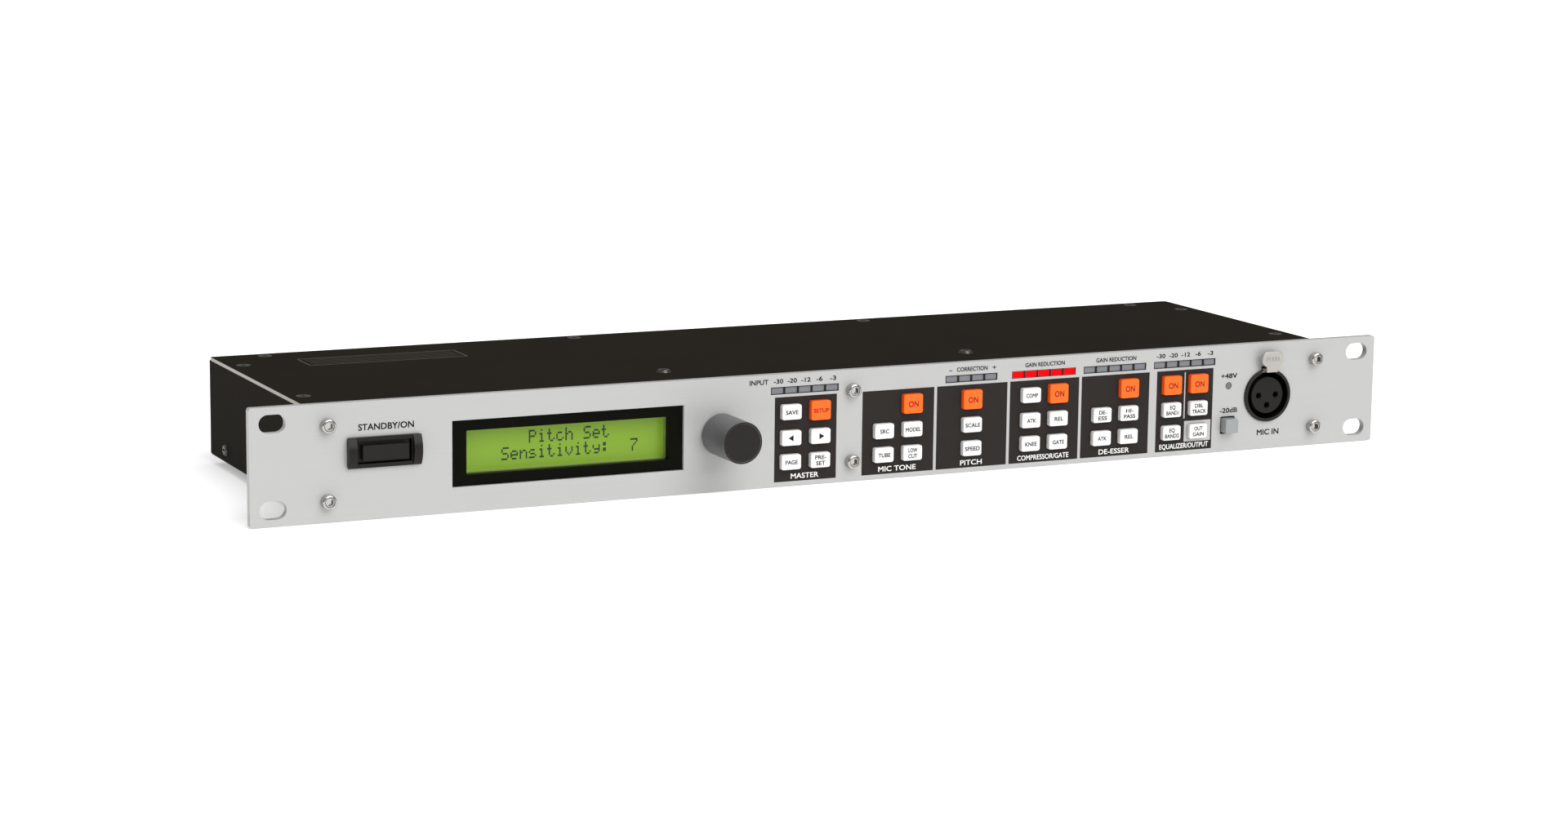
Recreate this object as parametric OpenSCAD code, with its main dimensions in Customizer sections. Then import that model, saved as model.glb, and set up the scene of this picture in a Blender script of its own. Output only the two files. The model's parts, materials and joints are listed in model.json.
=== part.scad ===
/* [Front panel] */
// Width across the rack ears
panel_w = 482.6; // [482:0.1:483]
// Height of the panel, just under one rack unit
panel_h = 44; // [43.8:0.1:44.4]
// Thickness of the panel
panel_t = 3; // [2.8:0.1:3.2]
// Length of each rack slot, end to end
slot_l = 10.2; // [9:0.1:12]
// Height of each rack slot
slot_h = 6.8; // [6.5:0.1:7]

/* [Chassis] */
// Width of the box behind the panel
box_w = 436; // [434:1:440]
// Depth of the box behind the panel
box_d = 125; // [122:1:160]
// Level of the lid's upper face, above the middle of the panel
lid_z = 20.2; // [20:0.1:20.6]
// Level of the tray's underside, below the middle of the panel
base_z = -19; // [-19.4:0.1:-18.8]
// Thickness of the sheet steel
sheet_t = 1.2; // [1:0.1:1.4]

/* [Keys] */
// Width of a key cap
key_w = 8.3; // [8:0.1:8.5]
// Height of a plain key cap
key_h = 5.9; // [5.6:0.1:6.2]
// Height of a lit key cap
lit_key_h = 7.6; // [7.2:0.1:7.8]
// How far a key stands out of the panel
key_out = 2; // [1.5:0.1:3]
// Gap between a key cap and its hole, all round
key_gap = 0.2; // [0.15:0.05:0.25]

/* [Data knob] */
// Diameter of the knob
knob_d = 16.3; // [15.5:0.1:18]
// Length of the knob
knob_l = 19.6; // [16:0.1:22]
// Diameter of the encoder shaft
shaft_d = 6; // [5.8:0.1:6.2]

/* [Display] */
// Width of the display window
window_w = 92.8; // [92:0.1:94]
// Height of the display window
window_h = 24.8; // [24.4:0.1:25.2]
// Width of the clear opening over the liquid crystal cell
view_w = 81.3; // [78:0.1:82]
// Height of the clear opening over the liquid crystal cell
view_h = 16.5; // [15:0.1:17]

/* [Microphone socket] */
// Outer radius of the socket shell
mic_r = 10.85; // [10.7:0.05:11]
// Radius of the contact insert
insert_r = 7.5; // [7.3:0.05:7.6]

/* [Rear sockets] */
// Diameter of a jack plug's hole
jack_d = 6.5; // [6.4:0.05:6.6]
// Radius of a five-pin socket's round face
din_r = 7.6; // [7.4:0.1:7.8]

/* [Hidden] */
$fn = 48;
face_y = -panel_t;
slot_x = 465.1 / 2;
slot_z = 31.75 / 2;
fit_gap = 0.1;

// Keys stand in six sections of up to two columns and three rows.
section_pitch = 32.55;
section_x = [-20.3, for (i = [0:3]) 19.65 + i * section_pitch, 149.85];
column_half = 6.22;
row_z = [7.2, -2.9, -12.3];
// Each key: section, column, row, whether it is a lit one, name
KEYS = [
    [0, -1, 0, false, "key_save"], [0, 1, 0, true, "key_setup"],
    [0, -1, 1, false, "key_left"], [0, 1, 1, false, "key_right"],
    [0, -1, 2, false, "key_page"], [0, 1, 2, false, "key_preset"],
    [1, 1, 0, true, "key_mic_on"],
    [1, -1, 1, false, "key_mic_source"], [1, 1, 1, false, "key_mic_model"],
    [1, -1, 2, false, "key_mic_tube"], [1, 1, 2, false, "key_mic_low_cut"],
    [2, 0, 0, true, "key_pitch_on"],
    [2, 0, 1, false, "key_pitch_scale"],
    [2, 0, 2, false, "key_pitch_speed"],
    [3, -1, 0, false, "key_comp"], [3, 1, 0, true, "key_comp_on"],
    [3, -1, 1, false, "key_comp_attack"], [3, 1, 1, false, "key_comp_release"],
    [3, -1, 2, false, "key_comp_knee"], [3, 1, 2, false, "key_gate"],
    [4, 1, 0, true, "key_deess_on"],
    [4, -1, 1, false, "key_deess"], [4, 1, 1, false, "key_high_pass"],
    [4, -1, 2, false, "key_deess_attack"], [4, 1, 2, false, "key_deess_release"],
    [5, -1, 0, true, "key_eq_on"], [5, 1, 0, true, "key_output_on"],
    [5, -1, 1, false, "key_eq_band_1"], [5, 1, 1, false, "key_double_track"],
    [5, -1, 2, false, "key_eq_band_2"], [5, 1, 2, false, "key_out_gain"],
];
function key_x(k) = section_x[k[0]] + k[1] * column_half;
function key_z(k) = row_z[k[2]];
function key_height(k) = k[3] ? lit_key_h : key_h;

// Level meters stand above five of the sections: section, segments, whether lit
METERS = [[0, 5, false], [2, 4, false], [3, 5, true], [4, 5, false], [5, 5, false]];
meter_z = 15.55;
meter_h = 2.9;
meter_pitch = 5.8;
meter_rib = 0.7;
meter_sunk = 0.5;
function meter_w(m) = m[1] * meter_pitch - 0.1;

// The board behind the keys carries their switches, the meters and the encoder.
board_t = 1.6;
board_y = 9;
switch_y = 5.2;
stem_r = 1.6;
stem_end = 7.4;

screw_z = 14;
screw_x = [-212, 0, 212];
screw_hole_r = 1.6;
shank_r = 1.4;
cap_head_r = 2.75;
cap_head_h = 3;

power_x = -190.45;
power_z = 3.2;
power_w = 28.2;
power_h = 11.4;
cheek_w = 3.2;
cheek_rise = 1.9;
power_opening = [20.8, 8.4];

window_x = -117.5;
window_sunk = 1;
window_flange_t = 1.4;
view_x = window_x + 0.2;
cell_y = 3.5;
cell_t = 2.8;

knob_x = -55.6;
knob_z = 0.3;
knob_base = face_y - 0.6;
knob_front = knob_base - knob_l;
knob_wall = 1.25;
hub_depth = 8.4;

lamp_x = 171;
lamp_z = 5.2;
lamp_r = 1.45;
pad_x = 171;
pad_z = -11;

mic_x = 189.5;
mic_z = 0.2;
mic_wall = 1.25;
mic_proud = 0.9;
latch_w = 10;
latch_neck_w = 5.2;

lid_t = sheet_t;
tray_top = lid_z - lid_t;
inner_x = box_w / 2 - sheet_t;
floor_z = base_z + sheet_t;
lip_w = 12;
tab_w = 9;
rear_in = box_d - sheet_t;
flat_head_r = 2.8;
side_screw_x = box_w / 2 - 6.5;
side_lid_y = [26, box_d - 24];
rear_lid_y = box_d - 5;
rear_lid_x = [-197, -66, 66, 197];
post_x = [-66, 66];
post_y = 28;
wall_screw_y = [20, box_d - 20];
wall_screw_z = -13.5;

main_y = [36, box_d - 3];
main_z = -12;
main_w = 400;
JACKS = [-150, -120, -90];
jack_z = main_z + board_t + 7;
jack_nose = box_d + 2;
DINS = [40, 68];
din_z = main_z + board_t + 9.6;
inlet_x = 180;
inlet_w = 9;
inlet_h = 11;
inlet_z = main_z + board_t + inlet_h / 2;

// Extrudes an outline seen from the front, from depth y0 back to depth y1.
module along_y(y0, y1) {
    translate([0, y1, 0]) rotate([90, 0, 0]) linear_extrude(y1 - y0) children();
}

// A round bar or hole that runs front to back.
module peg(x, z, r, y0, y1) {
    translate([x, y1, z]) rotate([90, 0, 0]) cylinder(r = r, h = y1 - y0);
}

module rounded(w, h, r) {
    square([w - 2 * r, h], center = true);
    square([w, h - 2 * r], center = true);
    for (x = [-1, 1], z = [-1, 1])
        translate([x * (w / 2 - r), z * (h / 2 - r)]) circle(r);
}

module slot(l, h) {
    square([l - h, h], center = true);
    for (x = [-1, 1]) translate([x * (l - h) / 2, 0]) circle(h / 2);
}

// A cross recess, cut down from the top of a head.
module cross_recess(depth) {
    for (a = [0, 90])
        rotate([0, 0, a]) translate([-1.5, -0.35, -depth]) cube([3, 0.7, depth + 1]);
}

module panel_cutouts() {
    for (x = [-1, 1], z = [-1, 1]) translate([x * slot_x, z * slot_z]) slot(slot_l, slot_h);
    for (x = screw_x, z = [-1, 1]) translate([x, z * screw_z]) circle(screw_hole_r);
    translate([power_x, power_z]) square([25.8, 9.8], center = true);
    translate([window_x, 0]) square([window_w + 2 * fit_gap, window_h + 2 * fit_gap], center = true);
    translate([knob_x, knob_z]) circle(3.7);
    for (k = KEYS)
        translate([key_x(k), key_z(k)])
            rounded(key_w + 2 * key_gap, key_height(k) + 2 * key_gap, 1);
    for (m = METERS)
        translate([section_x[m[0]], meter_z]) square([meter_w(m), meter_h], center = true);
    translate([lamp_x, lamp_z]) circle(lamp_r + 0.05);
    translate([pad_x, pad_z]) rounded(6.9, 7.2, 0.6);
    translate([mic_x, mic_z]) circle(mic_r + fit_gap);
    translate([mic_x, mic_z + mic_r]) square([latch_neck_w + 0.8, 2.4], center = true);
}

module front_panel() {
    color("gainsboro")
        along_y(face_y, 0)
            difference() {
                rounded(panel_w, panel_h, 1);
                panel_cutouts();
            }
}

module panel_screws() {
    color("silver")
        for (x = screw_x, z = [-1, 1])
            difference() {
                union() {
                    peg(x, z * screw_z, cap_head_r, face_y - cap_head_h, face_y);
                    peg(x, z * screw_z, shank_r, face_y, 5);
                }
                translate([x, face_y - cap_head_h + 1.6, z * screw_z])
                    rotate([90, 0, 0]) cylinder(r = 1.45, h = 3, $fn = 6);
            }
}

module power_bezel() {
    cheek_r = (power_h * power_h / 4 + cheek_rise * cheek_rise) / (2 * cheek_rise);
    lip_y = face_y - 1.2;
    color("dimgray")
        translate([power_x, 0, power_z])
            difference() {
                union() {
                    along_y(lip_y, face_y) rounded(power_w, power_h, 0.8);
                    along_y(face_y, 6) square([25.4, 9.4], center = true);
                    for (side = [-1, 1])
                        intersection() {
                            translate([side * (power_w - cheek_w) / 2, lip_y - cheek_rise + cheek_r, 0])
                                rotate([0, 90, 0]) cylinder(r = cheek_r, h = cheek_w, center = true, $fn = 96);
                            translate([0, lip_y - 1.9, 0]) cube([power_w, 4, power_h], center = true);
                        }
                }
                along_y(-12, 10) square(power_opening, center = true);
            }
}

module power_button() {
    color("black")
        translate([power_x, 0, power_z]) {
            along_y(face_y + 0.4, 3)
                square([power_opening[0] - 0.6, power_opening[1] - 0.6], center = true);
            along_y(face_y - 2.6, face_y + 0.4) rounded(17.6, 5.6, 0.4);
            along_y(3, 8) square([6, 4], center = true);
        }
}

module power_switch() {
    color("darkslategray")
        translate([power_x, 0, power_z])
            difference() {
                along_y(6, 18) square([22, 9.4], center = true);
                along_y(5, 10) square([6.6, 4.6], center = true);
            }
}

module display_window() {
    color("black")
        difference() {
            union() {
                along_y(face_y + window_sunk, 0)
                    translate([window_x, 0]) square([window_w, window_h], center = true);
                along_y(0, window_flange_t)
                    translate([window_x, 0]) square([window_w + 4, window_h + 4], center = true);
            }
            along_y(-5, 5) translate([view_x, 0]) square([view_w, view_h], center = true);
        }
}

module lcd_cell() {
    color("yellowgreen")
        along_y(cell_y, cell_y + cell_t)
            translate([view_x, 0]) square([view_w + 3, view_h + 3], center = true);
}

module display_module() {
    color("slategray")
        difference() {
            union() {
                along_y(window_flange_t, board_y)
                    translate([view_x, 0]) square([view_w + 9, view_h + 8], center = true);
                along_y(board_y, board_y + board_t)
                    translate([view_x, 0]) square([view_w + 16, 33], center = true);
            }
            along_y(0, cell_y) translate([view_x, 0]) square([view_w, view_h], center = true);
            along_y(cell_y, cell_y + cell_t)
                translate([view_x, 0]) square([view_w + 3, view_h + 3], center = true);
        }
}

module data_knob() {
    color("dimgray")
        difference() {
            peg(knob_x, knob_z, knob_d / 2, knob_front, knob_base);
            peg(knob_x, knob_z, knob_d / 2 - knob_wall, knob_front + knob_l - hub_depth, knob_base + 1);
            peg(knob_x, knob_z, shaft_d / 2 + 0.02, knob_front + 3, knob_base);
        }
}

module encoder_shaft() {
    color("silver") peg(knob_x, knob_z, shaft_d / 2, knob_front + 3.2, 7.5);
}

module encoder() {
    color("gray")
        difference() {
            union() {
                along_y(3, board_y) translate([knob_x, knob_z]) square([12, 12], center = true);
                peg(knob_x, knob_z, 3.5, face_y - 3, 3);
                translate([knob_x, face_y, knob_z])
                    rotate([90, 0, 0]) cylinder(r = 5.7, h = 2, $fn = 6);
            }
            peg(knob_x, knob_z, shaft_d / 2 + 0.06, face_y - 4, 8);
        }
}

module meter_cells(m, w, h) {
    for (i = [0 : m[1] - 1])
        translate([section_x[m[0]] + (i - (m[1] - 1) / 2) * meter_pitch, meter_z])
            square([w, h], center = true);
}

module meter_housings() {
    cell_w = meter_pitch - meter_rib;
    color("black")
        for (m = METERS)
            difference() {
                union() {
                    along_y(face_y, board_y)
                        translate([section_x[m[0]], meter_z])
                            square([meter_w(m) - 0.06, meter_h - 0.06], center = true);
                    along_y(0, 1)
                        translate([section_x[m[0]], meter_z])
                            square([meter_w(m) + 1.6, meter_h + 1.4], center = true);
                }
                along_y(face_y - 1, 3) meter_cells(m, cell_w, meter_h - 0.5);
            }
}

// The segments of the meters whose lamps are all on, or of those that are off.
module segments(on) {
    color(on ? "red" : "gray")
        for (m = METERS)
            if (m[2] == on)
                along_y(face_y + meter_sunk, 3)
                    meter_cells(m, meter_pitch - meter_rib, meter_h - 0.5);
}

module meter_segments() {
    segments(false);
}

module meter_segments_lit() {
    segments(true);
}

module phantom_lamp() {
    color("gray") {
        peg(lamp_x, lamp_z, lamp_r, face_y, 6);
        peg(lamp_x, lamp_z, 2.2, 6, board_y);
    }
}

module pad_button() {
    color("lightslategray") {
        along_y(face_y - 3.8, 0.6) translate([pad_x, pad_z]) rounded(6, 5.8, 0.7);
        along_y(0.6, 6) translate([pad_x, pad_z]) square([4, 4], center = true);
    }
}

module mic_shell() {
    color("black")
        translate([mic_x, 0, mic_z])
            difference() {
                union() {
                    peg(0, 0, mic_r, face_y - mic_proud, 0);
                    along_y(0, 2) rounded(23.8, 30, 2);
                    peg(0, 0, mic_r + 0.6, 2, 20);
                }
                peg(0, 0, mic_r - mic_wall, face_y - 5, 16);
                translate([-latch_neck_w / 2 - 0.4, face_y - 5, mic_r - mic_wall - 1])
                    cube([latch_neck_w + 0.8, 5 - face_y + 11, 3.2]);
            }
}

module mic_insert() {
    color("darkslategray")
        translate([mic_x, 0, mic_z])
            difference() {
                peg(0, 0, insert_r, face_y - 0.3, 16);
                for (p = [[-4.04, 0], [4.04, 0], [0, -4.1]])
                    peg(p[0], p[1], 1.25, face_y - 1, 17);
            }
}

module mic_latch() {
    tab_back = face_y - 2.7;
    tab_z = mic_r + 4.6;
    color("silver")
        translate([mic_x, 0, mic_z]) {
            along_y(tab_back - 1.2, tab_back) {
                translate([0, tab_z]) rounded(latch_w, 6.2, 2.6);
                translate([-latch_neck_w / 2, mic_r - 0.9]) square([latch_neck_w, 4]);
            }
            translate([-latch_neck_w / 2, tab_back, mic_r - 0.9])
                cube([latch_neck_w, 8 - tab_back, 1.3]);
            translate([-1.6, face_y + 2, mic_r - 1.9]) cube([3.2, 3, 1]);
        }
}

// A key: cap, retaining flange and the stem that works its switch.
module key(k) {
    h = key_height(k);
    color(k[3] ? "orangered" : "whitesmoke")
        translate([key_x(k), 0, key_z(k)]) {
            along_y(face_y - key_out, 0.1) rounded(key_w, h, 0.9);
            along_y(0.1, 0.9) rounded(key_w + 1.6, h + 1.6, 1);
            peg(0, 0, stem_r, 0.9, stem_end);
        }
}

// A switch for each key, and the larger latching switch of the pad button.
module board_switches() {
    color("darkslategray") {
        for (k = KEYS)
            translate([key_x(k), 0, key_z(k)])
                difference() {
                    along_y(switch_y, board_y) square([6, 6], center = true);
                    peg(0, 0, stem_r + 0.3, switch_y - 1, 8.3);
                }
        along_y(3.6, board_y)
            translate([pad_x, pad_z])
                difference() {
                    square([8, 8], center = true);
                    square([4.6, 4.6], center = true);
                }
    }
}

module key_board() {
    color("darkgreen")
        along_y(board_y, board_y + board_t)
            difference() {
                translate([-67, -17]) square([243, 34.4]);
                translate([0, screw_z]) circle(4);
                translate([0, -screw_z]) circle(4);
            }
}

// A countersunk hole, or the head that fills it, down from the top at z = 0.
module countersink(r, deep) {
    translate([0, 0, -deep]) cylinder(r1 = r - deep, r2 = r, h = deep);
}

module lid_screw_places() {
    for (x = [-1, 1], y = side_lid_y) translate([x * side_screw_x, y, lid_z]) children();
    for (x = rear_lid_x) translate([x, rear_lid_y, lid_z]) children();
}

module top_cover() {
    color("#2b2824")
        difference() {
            translate([0, box_d / 2, tray_top]) linear_extrude(lid_t) rounded(box_w, box_d, 1.5);
            lid_screw_places() {
                countersink(flat_head_r + 0.05, lid_t);
                translate([0, 0, -5]) cylinder(r = screw_hole_r, h = 6);
            }
            for (x = post_x) translate([x, post_y, tray_top - 1]) cylinder(r = screw_hole_r, h = 4);
        }
}

module wall_screw_places() {
    for (y = wall_screw_y, side = [-1, 1])
        translate([side * box_w / 2, y, wall_screw_z]) rotate([0, side * 90, 0]) children();
}

module cover_screws() {
    color("dimgray") {
        lid_screw_places()
            difference() {
                union() {
                    countersink(flat_head_r, lid_t);
                    translate([0, 0, -5]) cylinder(r = shank_r, h = 5);
                }
                cross_recess(0.8);
            }
        for (x = post_x)
            translate([x, post_y, lid_z])
                difference() {
                    union() {
                        cylinder(r1 = 2.9, r2 = 2.2, h = 1);
                        translate([0, 0, -6]) cylinder(r = shank_r, h = 6.3);
                    }
                    translate([0, 0, 1]) cross_recess(0.7);
                }
        wall_screw_places()
            difference() {
                union() {
                    cylinder(r1 = 2.3, r2 = 1.8, h = 0.7);
                    translate([0, 0, -3.4]) cylinder(r = shank_r, h = 3.6);
                }
                translate([0, 0, 0.7]) cross_recess(0.6);
            }
    }
}

// The tray's folded outline, seen from the front: floor, side walls and top lips.
module tray_outline() {
    difference() {
        union() {
            translate([-box_w / 2, base_z + 1.5]) square([box_w, tray_top - base_z - 1.5]);
            translate([-box_w / 2 + 1.5, base_z]) square([box_w - 3, 3]);
            for (x = [-1, 1]) translate([x * (box_w / 2 - 1.5), base_z + 1.5]) circle(1.5);
        }
        translate([-inner_x, floor_z]) square([2 * inner_x, tray_top - sheet_t - floor_z]);
        translate([-inner_x + lip_w, floor_z + 10]) square([2 * (inner_x - lip_w), 40]);
    }
}

module chassis_tray() {
    color("#211f1b")
        difference() {
            union() {
                along_y(0, box_d) tray_outline();
                along_y(0, sheet_t) {
                    for (x = [-1, 1])
                        translate([x * (inner_x - 5.5), 0]) square([11.4, 2 * tray_top - 1], center = true);
                    translate([-tab_w / 2, floor_z - 0.2]) square([tab_w, tray_top - floor_z - 1]);
                }
                for (x = post_x) translate([x, post_y, floor_z]) cylinder(r = 3.2, h = tray_top - floor_z);
                for (x = [-190, 0, 190], y = [main_y[0] + 4, main_y[1] - 34])
                    translate([x, y, floor_z]) cylinder(r = 2.6, h = main_z - floor_z);
                wall_screw_places() translate([0, 0, -sheet_t - 1.6]) cylinder(r = 3, h = 2);
            }
            for (x = screw_x, z = [-1, 1]) peg(x, z * screw_z, screw_hole_r, -1, sheet_t + 1);
            for (x = [-1, 1], y = side_lid_y)
                translate([x * side_screw_x, y, tray_top - 3]) cylinder(r = screw_hole_r, h = 4);
            for (x = post_x) translate([x, post_y, tray_top - 9]) cylinder(r = screw_hole_r, h = 10);
            wall_screw_places() translate([0, 0, -6]) cylinder(r = screw_hole_r, h = 8);
        }
}

module rear_panel() {
    color("#24211d")
        difference() {
            union() {
                along_y(rear_in, box_d)
                    translate([-inner_x + lip_w + 0.2, floor_z])
                        square([2 * (inner_x - lip_w - 0.2), tray_top - floor_z]);
                along_y(rear_in, box_d)
                    translate([-inner_x, floor_z]) square([2 * inner_x, tray_top - sheet_t - floor_z]);
                translate([-inner_x + lip_w + 0.2, box_d - lip_w, tray_top - sheet_t])
                    cube([2 * (inner_x - lip_w - 0.2), lip_w, sheet_t]);
            }
            for (x = rear_lid_x)
                translate([x, rear_lid_y, tray_top - 3]) cylinder(r = screw_hole_r, h = 4);
            for (x = JACKS) peg(x, jack_z, 4.8, rear_in - 1, box_d + 1);
            for (x = DINS) peg(x, din_z, din_r + fit_gap, rear_in - 1, box_d + 1);
            along_y(rear_in - 1, box_d + 1)
                translate([inlet_x, inlet_z])
                    square([inlet_w + 0.4, inlet_h + 0.4], center = true);
        }
}

module main_board() {
    top = main_z + board_t;
    color("darkgreen") {
        translate([-main_w / 2, main_y[0], main_z]) cube([main_w, main_y[1] - main_y[0], board_t]);
        for (x = [-60, -20, 110]) translate([x, 56, top]) cube([16, 16, 1.8]);
        for (x = [-150, -130, -110, 140, 155]) translate([x, 60, top]) cylinder(r = 4, h = 10);
        translate([160, 46, top]) cube([14, 12, 9]);
        translate([0, main_y[0] + 1, top]) cube([50, 6, 8]);
    }
}

module jack_sockets() {
    color("#1c1c1c")
        for (x = JACKS)
            translate([x, 0, jack_z])
                difference() {
                    union() {
                        along_y(rear_in - 27, rear_in) square([15, 14], center = true);
                        peg(0, 0, 4.6, rear_in, jack_nose);
                        peg(0, 0, 6.2, box_d, jack_nose - 0.4);
                    }
                    peg(0, 0, jack_d / 2, rear_in - 25, jack_nose + 1);
                }
}

module midi_sockets() {
    color("#1c1c1c")
        for (x = DINS)
            translate([x, 0, din_z])
                difference() {
                    union() {
                        along_y(rear_in - 12, rear_in) square([20, 19.2], center = true);
                        peg(0, 0, din_r, rear_in, box_d + 0.5);
                    }
                    difference() {
                        peg(0, 0, din_r - 0.7, rear_in - 7, box_d + 1);
                        peg(0, 0, din_r - 1.5, rear_in - 8, box_d + 2);
                    }
                    for (i = [0:4])
                        rotate([0, 180 + i * 45, 0]) translate([3.75, 0, 0])
                            peg(0, 0, 0.85, rear_in - 8, box_d + 1);
                }
}

module dc_inlet() {
    color("#1c1c1c")
        translate([inlet_x, 0, inlet_z]) {
            difference() {
                along_y(rear_in - 13, box_d + 0.3) square([inlet_w, inlet_h], center = true);
                peg(0, 0, 2.9, rear_in - 9, box_d + 1);
            }
            peg(0, 0, 1, rear_in - 10, box_d - 1);
        }
}

front_panel();
panel_screws();
power_bezel();
power_button();
power_switch();
display_window();
lcd_cell();
display_module();
data_knob();
encoder_shaft();
encoder();
meter_housings();
meter_segments();
meter_segments_lit();
phantom_lamp();
pad_button();
mic_shell();
mic_insert();
mic_latch();
top_cover();
cover_screws();
chassis_tray();
rear_panel();
key_board();
board_switches();
main_board();
jack_sockets();
midi_sockets();
dc_inlet();
for (k = KEYS)
    key(k);
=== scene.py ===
# %% [markdown]
# # A rack effects unit
# The object is a one-unit rack processor for a voice: a brushed aluminium panel with a
# display, a data knob, six groups of push keys, level meters and a microphone socket, on
# a black sheet steel box. The frame that is loaded first has every part at its true size
# and place. This lesson gives those parts their finish, and models again the ones that
# need softer edges, lettering or a finer shape than the frame has.

# %% Load the frame
import json
import math

import bmesh
import bpy
from mathutils import Matrix, Quaternion, Vector

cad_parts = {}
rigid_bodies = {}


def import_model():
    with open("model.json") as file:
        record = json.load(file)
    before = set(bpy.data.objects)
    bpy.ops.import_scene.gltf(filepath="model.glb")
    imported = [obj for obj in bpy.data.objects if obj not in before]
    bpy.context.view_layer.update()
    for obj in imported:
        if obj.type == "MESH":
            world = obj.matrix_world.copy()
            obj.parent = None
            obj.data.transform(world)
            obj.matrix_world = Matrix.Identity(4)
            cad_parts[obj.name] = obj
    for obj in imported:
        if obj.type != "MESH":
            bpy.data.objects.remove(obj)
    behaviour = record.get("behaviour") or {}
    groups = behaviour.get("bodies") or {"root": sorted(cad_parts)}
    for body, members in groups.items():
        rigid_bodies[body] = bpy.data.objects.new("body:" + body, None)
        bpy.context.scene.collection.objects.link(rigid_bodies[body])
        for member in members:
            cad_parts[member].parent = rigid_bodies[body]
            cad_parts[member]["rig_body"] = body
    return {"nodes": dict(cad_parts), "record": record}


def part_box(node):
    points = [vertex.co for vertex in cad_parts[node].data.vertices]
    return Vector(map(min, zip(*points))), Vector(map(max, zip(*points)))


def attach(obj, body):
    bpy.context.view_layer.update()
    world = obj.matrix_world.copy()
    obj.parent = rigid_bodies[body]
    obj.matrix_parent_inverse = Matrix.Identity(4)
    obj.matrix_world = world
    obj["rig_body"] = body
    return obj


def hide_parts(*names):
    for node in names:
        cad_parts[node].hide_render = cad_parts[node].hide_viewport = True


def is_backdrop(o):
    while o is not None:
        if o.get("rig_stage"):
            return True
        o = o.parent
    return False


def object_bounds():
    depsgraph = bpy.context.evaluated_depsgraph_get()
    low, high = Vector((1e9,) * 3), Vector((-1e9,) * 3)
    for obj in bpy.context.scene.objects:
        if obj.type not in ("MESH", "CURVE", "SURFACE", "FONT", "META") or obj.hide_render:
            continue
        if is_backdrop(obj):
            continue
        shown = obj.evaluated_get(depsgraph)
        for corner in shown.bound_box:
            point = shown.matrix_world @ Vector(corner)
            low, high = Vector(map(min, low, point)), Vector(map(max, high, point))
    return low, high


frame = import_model()
cad_low, cad_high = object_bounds()
NODES = frame["nodes"]
SLOT_OF = {part["node"]: part["material_slot"] for part in frame["record"]["subparts"]}
MM = 0.001

# %% [markdown]
# ## The camera
# The camera stands low on the left and looks a little down. It is placed by its angles
# round an aiming point, which is easier to read and to change than a bare position. The
# last small turn about its own line of sight is the tilt of a hand-held frame.

# %% Place the camera
AIM = Vector((-27.64, 0.0, 4.46)) * MM
camera_azimuth = math.radians(-25.412)
camera_elevation = math.radians(10.101)
camera_distance = 1.38896
towards_camera = Vector(
    (
        math.sin(camera_azimuth) * math.cos(camera_elevation),
        -math.cos(camera_azimuth) * math.cos(camera_elevation),
        math.sin(camera_elevation),
    )
)
camera_data = bpy.data.cameras.new("studio_camera")
camera_data.sensor_width = 36.0
camera_data.lens = 82.96
camera = bpy.data.objects.new("studio_camera", camera_data)
bpy.context.scene.collection.objects.link(camera)
camera.location = AIM + camera_distance * towards_camera
level = (-towards_camera).to_track_quat("-Z", "Y")
tilt = Quaternion((0.0, 0.0, 1.0), math.radians(0.7168))
camera.rotation_euler = (level @ tilt).to_euler()
bpy.context.scene.camera = camera
print("camera stands at", [round(value, 3) for value in camera.location])

# %% [markdown]
# ## Small tools for the bench
# An operator acts on everything that is selected, so each step starts from a clear
# selection. Faces and edges are then picked by where they are and which way they point,
# which keeps working when a size changes. A finished piece has its place in its mesh, as
# the frame's own nodes have, so a pattern on Object coordinates stays where it belongs.
# A hair is how far from a plane a face or an edge may be and still count as lying in it.


# %% Selecting and placing
HAIR = 0.01 * MM


def take(piece):
    """Selects one piece alone and makes it the active one."""
    for other in bpy.context.selected_objects:
        other.select_set(False)
    piece.select_set(True)
    bpy.context.view_layer.objects.active = piece


def clear():
    """Drops the selection before something new is added."""
    for other in bpy.context.selected_objects:
        other.select_set(False)
    bpy.context.view_layer.objects.active = None


def settle(name):
    """Names the new piece, and puts its place, turn and scale into its mesh."""
    piece = bpy.context.object
    piece.name = name
    piece.data.name = name
    take(piece)
    bpy.ops.object.transform_apply(location=True, rotation=True, scale=True)
    return piece


def block(name, low, high):
    """Adds a block between two corners."""
    clear()
    low, high = Vector(low), Vector(high)
    bpy.ops.mesh.primitive_cube_add(size=1.0, location=(low + high) / 2)
    bpy.context.object.scale = high - low
    return settle(name)


def rod(name, x, z, radius, front, back, sides=64):
    """Adds a round bar that runs from front to back."""
    clear()
    bpy.ops.mesh.primitive_cylinder_add(
        vertices=sides,
        radius=radius,
        depth=back - front,
        location=(x, (front + back) / 2, z),
        rotation=(math.radians(90.0), 0.0, 0.0),
    )
    return settle(name)


def open_up(piece):
    """Goes into edit mode on one piece, with nothing selected."""
    take(piece)
    bpy.ops.object.mode_set(mode="EDIT")
    bpy.ops.mesh.select_all(action="DESELECT")


def close():
    """Comes back from edit mode."""
    bpy.ops.object.mode_set(mode="OBJECT")


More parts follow.
